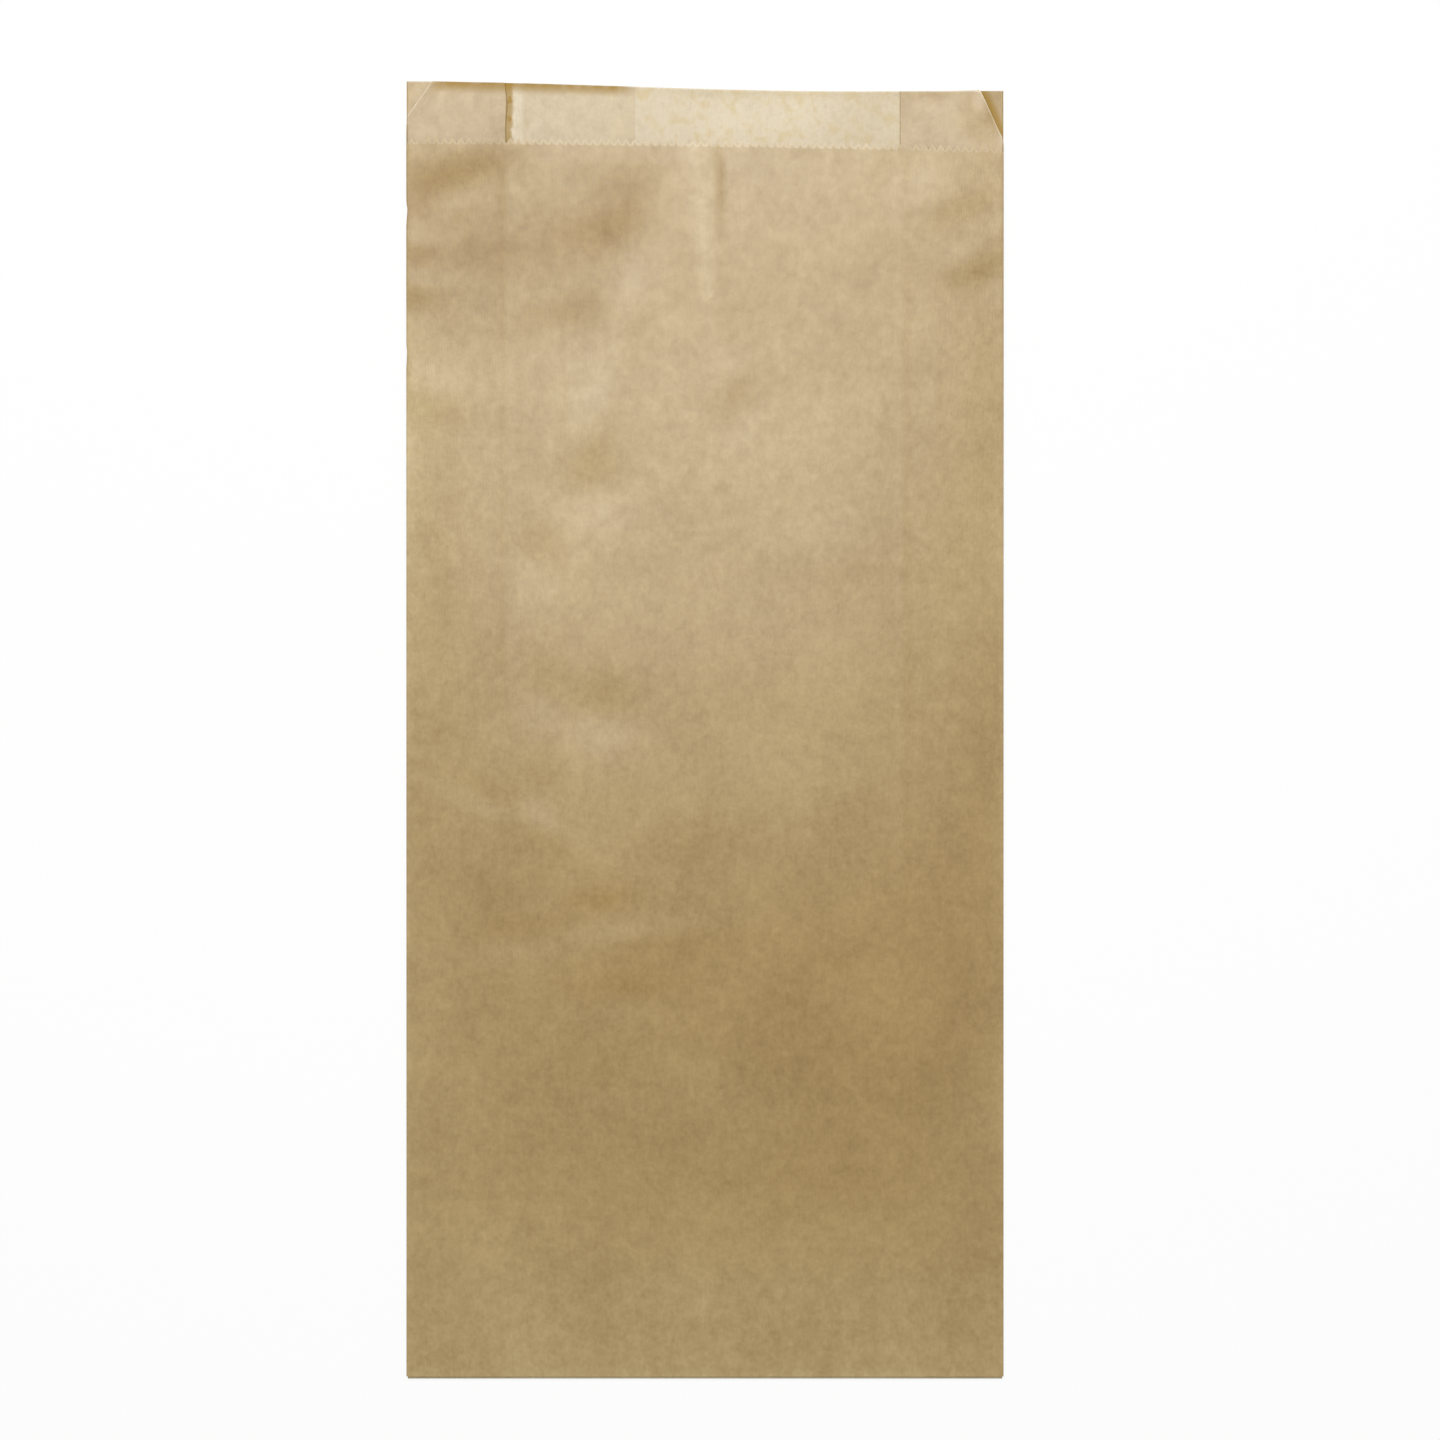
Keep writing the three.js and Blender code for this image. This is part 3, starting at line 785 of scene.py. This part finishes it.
def add_tongue(sheet, shape, roots):
    """The front panel's columns go on round the bottom fold and under the back panel."""
    notch = shape.tongue_end - shape.sizes.tooth / 2
    angles = math.pi * np.arange(1, TURN_SIDES + 1) / TURN_SIDES
    round_y = shape.turn - shape.turn_radius * np.sin(angles)
    round_z = shape.sizes.paper / 2 + shape.turn_radius * (1 + np.cos(angles))
    under = np.linspace(shape.turn, notch - TOOTH_ROOT, TONGUE_ROWS + 1)[1:]
    y = np.concatenate([round_y, under, [notch]])
    z = np.concatenate([round_z, np.full(TONGUE_ROWS + 1, shape.sizes.paper / 2)])
    to_edge = np.clip(notch - y, 0, None) * (z < shape.turn_radius)
    lines = []
    for root in roots:
        points = np.column_stack([np.full_like(y, sheet.points[root][0]), y, z])
        steps = np.linalg.norm(np.diff(points, axis=0, prepend=[sheet.points[root]]), axis=1)
        round_at, start = sheet.maps[root]
        maps = np.column_stack([np.full_like(y, round_at), start - np.cumsum(steps)])
        lines.append([root, *sheet.add_line(points, maps, to_edge, 0)])
    for line, other in zip(lines, lines[1:]):
        sheet.add_strip(other, line)
    edge = [line[-1] for line in lines]
    points = [sheet.points[number] + np.array([0, shape.sizes.tooth, 0]) for number in edge[1::2]]
    maps = [sheet.maps[number] - np.array([0, shape.sizes.tooth]) for number in edge[1::2]]
    sheet.add_teeth(edge, points, maps, True)


def paste_boxes(shape):
    """The two strips of paste between plies: low and high corners."""
    sizes = shape.sizes
    bite = PLY_GAP / 2 + PASTE_BITE
    middle = SEAM_EDGE - SEAM_PASTE_INSET
    half = SEAM_PASTE_WIDTH / 2
    seam_foot = shape.tongue_end + sizes.tooth + TONGUE_RAMP
    seam_top = shape.lip_edge(shape.half_width) - 2 * TONGUE_PASTE_MARGIN
    seam_z = shape.ply_height(0, seam_top) + shape.ply_step / 2
    tongue_z = sizes.paper / 2 + shape.ply_step / 2
    tongue_x = shape.flat_end - TONGUE_PASTE_MARGIN
    tongue_top = shape.tongue_end - sizes.tooth / 2 - TONGUE_PASTE_MARGIN
    return (
        ((middle - half, seam_foot, seam_z - bite), (middle + half, seam_top, seam_z + bite)),
        (
            (-tongue_x, shape.turn + TONGUE_PASTE_MARGIN, tongue_z - bite),
            (tongue_x, tongue_top, tongue_z + bite),
        ),
    )


BOX_FACES = ((0, 2, 3, 1), (4, 5, 7, 6), (0, 1, 5, 4), (2, 6, 7, 3), (0, 4, 6, 2), (1, 3, 7, 5))


def thicken(sheet, shape):
    """A closed mesh of the paper: its outside, its inside and a wall along every cut edge."""
    count = len(sheet.points)
    half = sheet.normals() * shape.sizes.paper / 2
    middle = np.array(sheet.points)
    outer = [tuple(face) for face in sheet.faces]
    inner = [tuple(count + i for i in reversed(face)) for face in sheet.faces]
    walls = [(b, a, count + a, count + b) for a, b in sheet.rim()]
    points = [*map(tuple, middle + half), *map(tuple, middle - half)]
    faces = [*outer, *inner, *walls]
    for low, high in paste_boxes(shape):
        start = len(points)
        for z in (low[2], high[2]):
            for y in (low[1], high[1]):
                points += [(low[0], y, z), (high[0], y, z)]
        faces += [tuple(start + i for i in face) for face in BOX_FACES]

    mesh = bpy.data.meshes.new("kraft_bag")
    mesh.from_pydata(points, [], faces)
    extra = len(points) - 2 * count
    x, y, _ = middle.T
    # Painted shade and painted highlights, on the outside faces that look up
    shade = sum(mark.depth * spot(mark, x, y) for mark in SHADES) * (half[:, 2] > 0)
    layers = {
        "inside": np.concatenate([np.zeros(count), np.ones(count), np.ones(extra)]),
        "to_edge": np.concatenate([sheet.to_edge, sheet.to_edge, np.ones(extra)]),
        "glow": np.concatenate([np.zeros(count), sheet.glow, np.zeros(extra)]),
        "shade": np.concatenate([shade, np.zeros(count + extra)]),
    }
    for name, values in layers.items():
        layer = mesh.attributes.new(name, "FLOAT", "POINT")
        layer.data.foreach_set("value", values.astype(np.float32))
    before_walls = sum(len(face) for face in (*outer, *inner))
    unfold(mesh, sheet, slice(before_walls, before_walls + 4 * len(walls)))
    mesh.validate()
    return mesh


def unfold(mesh, sheet, walls):
    """Maps the outside onto the left half of a square and the inside onto the right half."""
    maps = np.array(sheet.maps) / SHEET_SPAN
    count = len(maps)
    extra = len(mesh.vertices) - 2 * count
    place = np.concatenate([maps, maps + np.array([0.5, 0]), np.zeros((extra, 2))])
    corners = np.zeros(len(mesh.loops), int)
    mesh.loops.foreach_get("vertex_index", corners)
    values = place[corners]
    values[walls] = maps[corners[walls] % count]
    layer = mesh.uv_layers.new(name="unfolded")
    layer.data.foreach_set("uv", values.astype(np.float32).ravel())


class Value:
    """A number that varies over a surface. Arithmetic on it adds Math nodes."""

    def __init__(self, graph, socket):
        self.graph = graph
        self.socket = socket

    def math(self, operation, first, second):
        made = self.graph.node("ShaderNodeMath", {"operation": operation}, {0: first, 1: second})
        return Value(self.graph, made.outputs[0])

    def __add__(self, other):
        return self.math("ADD", self, other)

    def __sub__(self, other):
        return self.math("SUBTRACT", self, other)

    def __rsub__(self, other):
        return self.math("SUBTRACT", other, self)

    def __mul__(self, other):
        return self.math("MULTIPLY", self, other)

    def __truediv__(self, other):
        return self.math("DIVIDE", self, other)

    def __pow__(self, other):
        return self.math("POWER", self, other)

    __radd__ = __add__
    __rmul__ = __mul__

    def most(self, other):
        return self.math("MAXIMUM", self, other)

    def least(self, other):
        return self.math("MINIMUM", self, other)

    def step(self, low, high):
        """Rises smoothly from 0 at `low` to 1 at `high`."""
        made = self.graph.node(
            "ShaderNodeMapRange",
            {"interpolation_type": "SMOOTHSTEP"},
            {"Value": self, "From Min": low, "From Max": high},
        )
        return Value(self.graph, made.outputs[0])

    def within(self, rise, fall):
        """Rises over the first stretch and falls over the second."""
        return self.step(*rise) * (1 - self.step(*fall))


class Graph:
    """The nodes of one material or world."""

    def __init__(self, owner):
        self.tree = owner.node_tree
        self.tree.nodes.clear()

    def node(self, kind, settings=None, sockets=None):
        """Adds a node, with its settings, and then the values or links of its sockets."""
        made = self.tree.nodes.new(kind)
        for name, setting in (settings or {}).items():
            setattr(made, name, setting)
        for key, value in (sockets or {}).items():
            self.feed(made.inputs[key], value)
        return made

    def feed(self, socket, value):
        if isinstance(value, Value):
            value = value.socket
        if isinstance(value, bpy.types.NodeSocket):
            self.tree.links.new(value, socket)
        else:
            socket.default_value = value

    def attribute(self, name):
        made = self.node("ShaderNodeAttribute", {"attribute_name": name})
        return Value(self, made.outputs["Fac"])

    def scaled(self, vector, sizes):
        """A vector divided by the sizes of a pattern."""
        factors = tuple(1 / size for size in sizes)
        made = self.node("ShaderNodeVectorMath", {"operation": "MULTIPLY"}, {0: vector, 1: factors})
        return made.outputs[0]

    def noise(self, vector, pattern):
        """Noise about 0, with the grain of a pattern."""
        made = self.node(
            "ShaderNodeTexNoise",
            None,
            {
                "Vector": self.scaled(vector, (pattern.across * MM, pattern.along * MM, 1)),
                "Scale": 1.0,
                "Detail": pattern.detail,
                "Roughness": pattern.roughness,
                "Distortion": pattern.distortion,
            },
        )
        return Value(self, made.outputs[0]) - 0.5

    def mix(self, factor, colour, other, blend="MIX", clamp=True):
        """Mixes two colours, whose sockets go by number because others have their names."""
        made = self.node(
            "ShaderNodeMix",
            {"data_type": "RGBA", "blend_type": blend, "clamp_factor": clamp},
            {0: factor, 6: colour, 7: other},
        )
        return made.outputs[2]


def opaque(colour):
    return (*colour, 1.0)


WHITE = opaque((1, 1, 1))


class Paper:
    """What varies over the paper: its places, its patterns and its marks."""

    def __init__(self, graph, shape):
        self.shape = shape
        mapped = graph.node("ShaderNodeUVMap", {"uv_map": "unfolded"}).outputs[0]
        flat = graph.scaled(mapped, (1 / SHEET_SPAN, 1 / SHEET_SPAN, 1))
        place = graph.node("ShaderNodeTexCoord").outputs["Object"]
        split = graph.node("ShaderNodeSeparateXYZ", None, {0: place})
        self.x = Value(graph, split.outputs[0])
        self.y = Value(graph, split.outputs[1])
        self.inside = graph.attribute("inside")
        self.glow = graph.attribute("glow")
        self.lit = self.glow * self.inside
        self.to_edge = graph.attribute("to_edge")
        self.shade = graph.attribute("shade")
        self.patterns = {name: graph.noise(flat, pattern) for name, pattern in PATTERNS.items()}

    def blend(self, shares):
        """The patterns, each times its share."""
        return sum(self.patterns[name] * share for name, share in shares.items())

    def pulp(self):
        """Denser pulp, which shows darker in the painted light that comes through a single ply."""
        return self.blend(PULP).step(*PULP_FADE) * self.lit * self.x.step(*PULP_FROM)

    def torn_fibres_and_highlight(self):
        """Pale torn fibres along each cut, partly a painted highlight of the cut edges catching light;
        they show less on the outside.
        """
        near = 1 - self.to_edge.step(*TORN_FADE)
        outside = TORN_OUTSIDE + self.x.within(*TORN_BETWEEN) * TORN_BETWEEN_MORE
        shown = (self.inside * TORN_INSIDE).most(outside)
        return (near * (TORN_LEVEL + self.patterns["fibre"]) * shown).least(1)

    def painted_lip_shade(self):
        """Painted shade along the lip's curled cut edge, left of its middle."""
        near = 1 - self.to_edge.step(*BAND_FADE)
        part = self.x.within(*BAND_SIDES) * self.y.step(*BAND_FOOT) * self.inside
        return near * part * (BAND_LEVEL + self.patterns["mottle"] * BAND_MOTTLE).least(1)

    def shade_and_paste(self):
        """Painted shadow in ochre beside the left gusset's inner fold, where the fold casts its shade,
        with two darker spots of dried paste.
        """
        rise, fall = STAIN_SIDES
        ragged = self.x + self.patterns["mottle"] * STAIN_RAGGED
        beside = self.x.step(*rise) * (1 - ragged.step(*fall))
        shade_and_paste = beside * self.lit * self.y.step(*STAIN_FOOT) * STAIN_STRENGTH
        for spot_x, spot_y in STAIN_SPOTS:
            right = (self.x - spot_x) / STAIN_SPOT_HALF[0]
            up = (self.y - spot_y) / STAIN_SPOT_HALF[1]
            away = right * right + up * up + self.patterns["grain"] * STAIN_SPOT_RAGGED
            shade_and_paste = shade_and_paste.most((1 - away.step(*STAIN_SPOT_FADE)) * self.lit)
        return shade_and_paste

    def shadowed(self):
        """Painted shadow on the back leaf along the clipped corner of the right gusset, cast by the
        lifted front leaf.
        """
        width, drop = corner(self.shape.half_width)
        start = self.shape.half_width - width
        cut = math.hypot(width, drop)
        right = (self.x - start) * (drop / cut)
        up = (self.y - self.shape.lip_edge(start)) * (width / cut)
        part = self.x.step(*CLIP_SIDE) * self.y.step(*CLIP_FOOT) * (1 - self.inside)
        return (right + up).within(*CLIP_FADE) * part

    def seam_line(self):
        """The inner ply's cut edge down the seam, which shows through."""
        off = (self.x - SEAM_EDGE - SEAM_LINE_INSET) / SEAM_LINE_HALF
        return (1 - off**2).most(0) * self.lit * SEAM_LINE_STRENGTH


def kraft_paper(look, shape):
    """Kraft paper: cloudy fibres; the inside painted paler where light from the table would come through
    one ply; pale cut edges with a painted highlight; painted shade and highlights on the front; ochre
    painted shade and shadow along the lip, beside a fold and along the clipped corner; and dried paste.
    """
    material = bpy.data.materials.new("kraft_paper")
    material.use_nodes = True
    graph = Graph(material)
    paper = Paper(graph, shape)
    pulp = paper.pulp()
    lip_shade = paper.painted_lip_shade()
    shade_and_paste = paper.shade_and_paste()
    shadowed = paper.shadowed()

    # Painted light: the inside is made paler where the pale table would shine through one ply
    inner_colour = graph.mix(paper.glow, opaque(look.inside), opaque(look.thin))
    colour = graph.mix(paper.inside, opaque(look.outside), inner_colour)
    colour = graph.mix(pulp * PULP_SHARE, colour, opaque(look.pulp))
    tone = graph.mix(paper.blend(TONE) + 0.5, opaque(TONE_DARK), opaque(TONE_LIGHT))
    colour = graph.mix(1.0, colour, tone, "MULTIPLY")
    # Painted shade and painted highlights on the front panel's outside
    colour = graph.mix(paper.shade, colour, opaque(SHADE_TINT), "MULTIPLY", clamp=False)
    marks = (
        (paper.torn_fibres_and_highlight(), look.fibre),
        (lip_shade, look.ochre),
        (shade_and_paste, look.ochre),
        (shadowed * CLIP_STRENGTH, look.ochre),
        (paper.seam_line(), look.fibre),
    )
    for strength, tint in marks:
        colour = graph.mix(strength, colour, opaque(tint))

    dull = paper.shade.most(0) * paper.y.step(*DULL_FROM)
    rough = look.roughness + paper.blend(UNEVEN) + pulp * PULP_ROUGH + shade_and_paste * STAIN_ROUGH
    rough = rough + lip_shade * BAND_ROUGH + shadowed * CLIP_ROUGH + dull * DULL_ROUGH
    relief = graph.node(
        "ShaderNodeBump",
        None,
        {"Strength": RELIEF_STRENGTH, "Distance": RELIEF_HEIGHT, "Height": paper.blend(RELIEF)},
    )
    shader = graph.node(
        "ShaderNodeBsdfPrincipled",
        None,
        {
            "Base Color": colour,
            "Roughness": rough,
            "Specular IOR Level": SPECULAR,
            "Normal": relief.outputs[0],
        },
    )
    graph.node("ShaderNodeOutputMaterial", None, {"Surface": shader.outputs[0]})
    return material


def floor_material(look):
    """A pale floor that the camera sees as white, and that keeps the bag's soft shadow."""
    material = bpy.data.materials.new("floor")
    material.use_nodes = True
    graph = Graph(material)
    ray = graph.node("ShaderNodeLightPath")
    seen = Value(graph, ray.outputs["Is Camera Ray"])
    seen = seen.most(Value(graph, ray.outputs["Is Glossy Ray"]))
    seen = seen.most(Value(graph, ray.outputs["Is Transmission Ray"]))
    plain = graph.node("ShaderNodeBsdfDiffuse", None, {"Color": opaque(look.floor)})
    white = graph.node("ShaderNodeEmission", None, {"Color": WHITE, "Strength": 1.0})
    mixed = graph.node(
        "ShaderNodeMixShader",
        None,
        {0: seen * FLOOR_WHITE, 1: plain.outputs[0], 2: white.outputs[0]},
    )
    graph.node("ShaderNodeOutputMaterial", None, {"Surface": mixed.outputs[0]})
    return material


def light_world(scene, strength):
    """Even light from all round, which the camera sees as white."""
    world = bpy.data.worlds.new("studio")
    world.use_nodes = True
    graph = Graph(world)
    ray = graph.node("ShaderNodeLightPath")
    seen = Value(graph, ray.outputs["Is Camera Ray"])
    level = seen * (1 - strength) + strength
    sky = graph.node("ShaderNodeBackground", None, {"Color": WHITE, "Strength": level})
    graph.node("ShaderNodeOutputWorld", None, {"Surface": sky.outputs[0]})
    scene.world = world


class BAG_OT_add_bag(bpy.types.Operator):
    """Add the folded paper bag"""

    bl_idname = "paper_bag.add_bag"
    bl_label = "Paper Bag"

    def execute(self, context):
        shape = BagShape(context.scene.bag_sizes)
        mesh = thicken(bag_sheet(shape), shape)
        bag = bpy.data.objects.new("kraft_bag", mesh)
        context.scene.collection.objects.link(bag)
        bpy.ops.object.select_all(action="DESELECT")
        bag.select_set(True)
        context.view_layer.objects.active = bag
        bpy.ops.object.shade_smooth_by_angle(angle=SMOOTH_ANGLE)
        mesh.materials.append(kraft_paper(context.scene.bag_paper, shape))
        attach(bag, "root")
        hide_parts("paper_bag")
        return {"FINISHED"}


class BAG_OT_add_stage(bpy.types.Operator):
    """Add the floor, the light and the camera"""

    bl_idname = "paper_bag.add_stage"
    bl_label = "Stage"

    def execute(self, context):
        scene = context.scene
        look = scene.bag_stage
        bpy.ops.object.select_all(action="DESELECT")
        bpy.ops.mesh.primitive_plane_add(size=2 * FLOOR_HALF, location=(0, 0, -FLOOR_DROP))
        floor = context.active_object
        floor.name = "floor"
        bpy.ops.object.transform_apply(location=True, rotation=False, scale=False)
        floor.data.materials.append(floor_material(look))

        light_world(scene, look.ambient)
        bpy.ops.object.light_add(type="AREA", location=LAMP_PLACE)
        lamp = context.active_object
        lamp.name = "soft_lamp"
        lamp.data.shape = "RECTANGLE"
        lamp.data.size, lamp.data.size_y = LAMP_SIZE
        lamp.data.energy = look.lamp
        lamp.rotation_euler = (Vector(LAMP_AIM) - Vector(LAMP_PLACE)).to_track_quat("-Z", "Y").to_euler()
        lamp.visible_camera = False

        bpy.ops.object.camera_add(location=CAMERA_PLACE, rotation=(0, 0, 0))
        camera = context.active_object
        camera.data.lens = CAMERA_LENS
        camera.data.sensor_width = CAMERA_SENSOR
        scene.camera = camera
        scene.view_settings.view_transform = "Standard"
        return {"FINISHED"}


class BAG_PT_panel(bpy.types.Panel):
    """Lists what the add-on adds"""

    bl_label = "Paper Bag"
    bl_idname = "BAG_PT_panel"
    bl_space_type = "VIEW_3D"
    bl_region_type = "UI"
    bl_category = "Paper Bag"

    def draw(self, context):
        layout = self.layout
        for operator in OPERATORS:
            layout.operator(operator.bl_idname)
        for name, _ in SETTINGS:
            box = layout.box()
            group = getattr(context.scene, name)
            for key in group.__annotations__:
                box.prop(group, key)


OPERATORS = (BAG_OT_add_bag, BAG_OT_add_stage)
SETTINGS = (("bag_sizes", BagSizes), ("bag_paper", BagPaper), ("bag_stage", BagStage))
CLASSES = (BagSizes, BagPaper, BagStage, *OPERATORS, BAG_PT_panel)


def register():
    for each in CLASSES:
        bpy.utils.register_class(each)
    for name, group in SETTINGS:
        setattr(bpy.types.Scene, name, PointerProperty(type=group))


def unregister():
    for name, _ in SETTINGS:
        delattr(bpy.types.Scene, name)
    for each in reversed(CLASSES):
        bpy.utils.unregister_class(each)


def main():
    register()
    bpy.ops.paper_bag.add_bag()
    bpy.ops.paper_bag.add_stage()


if __name__ == "__main__":
    main()
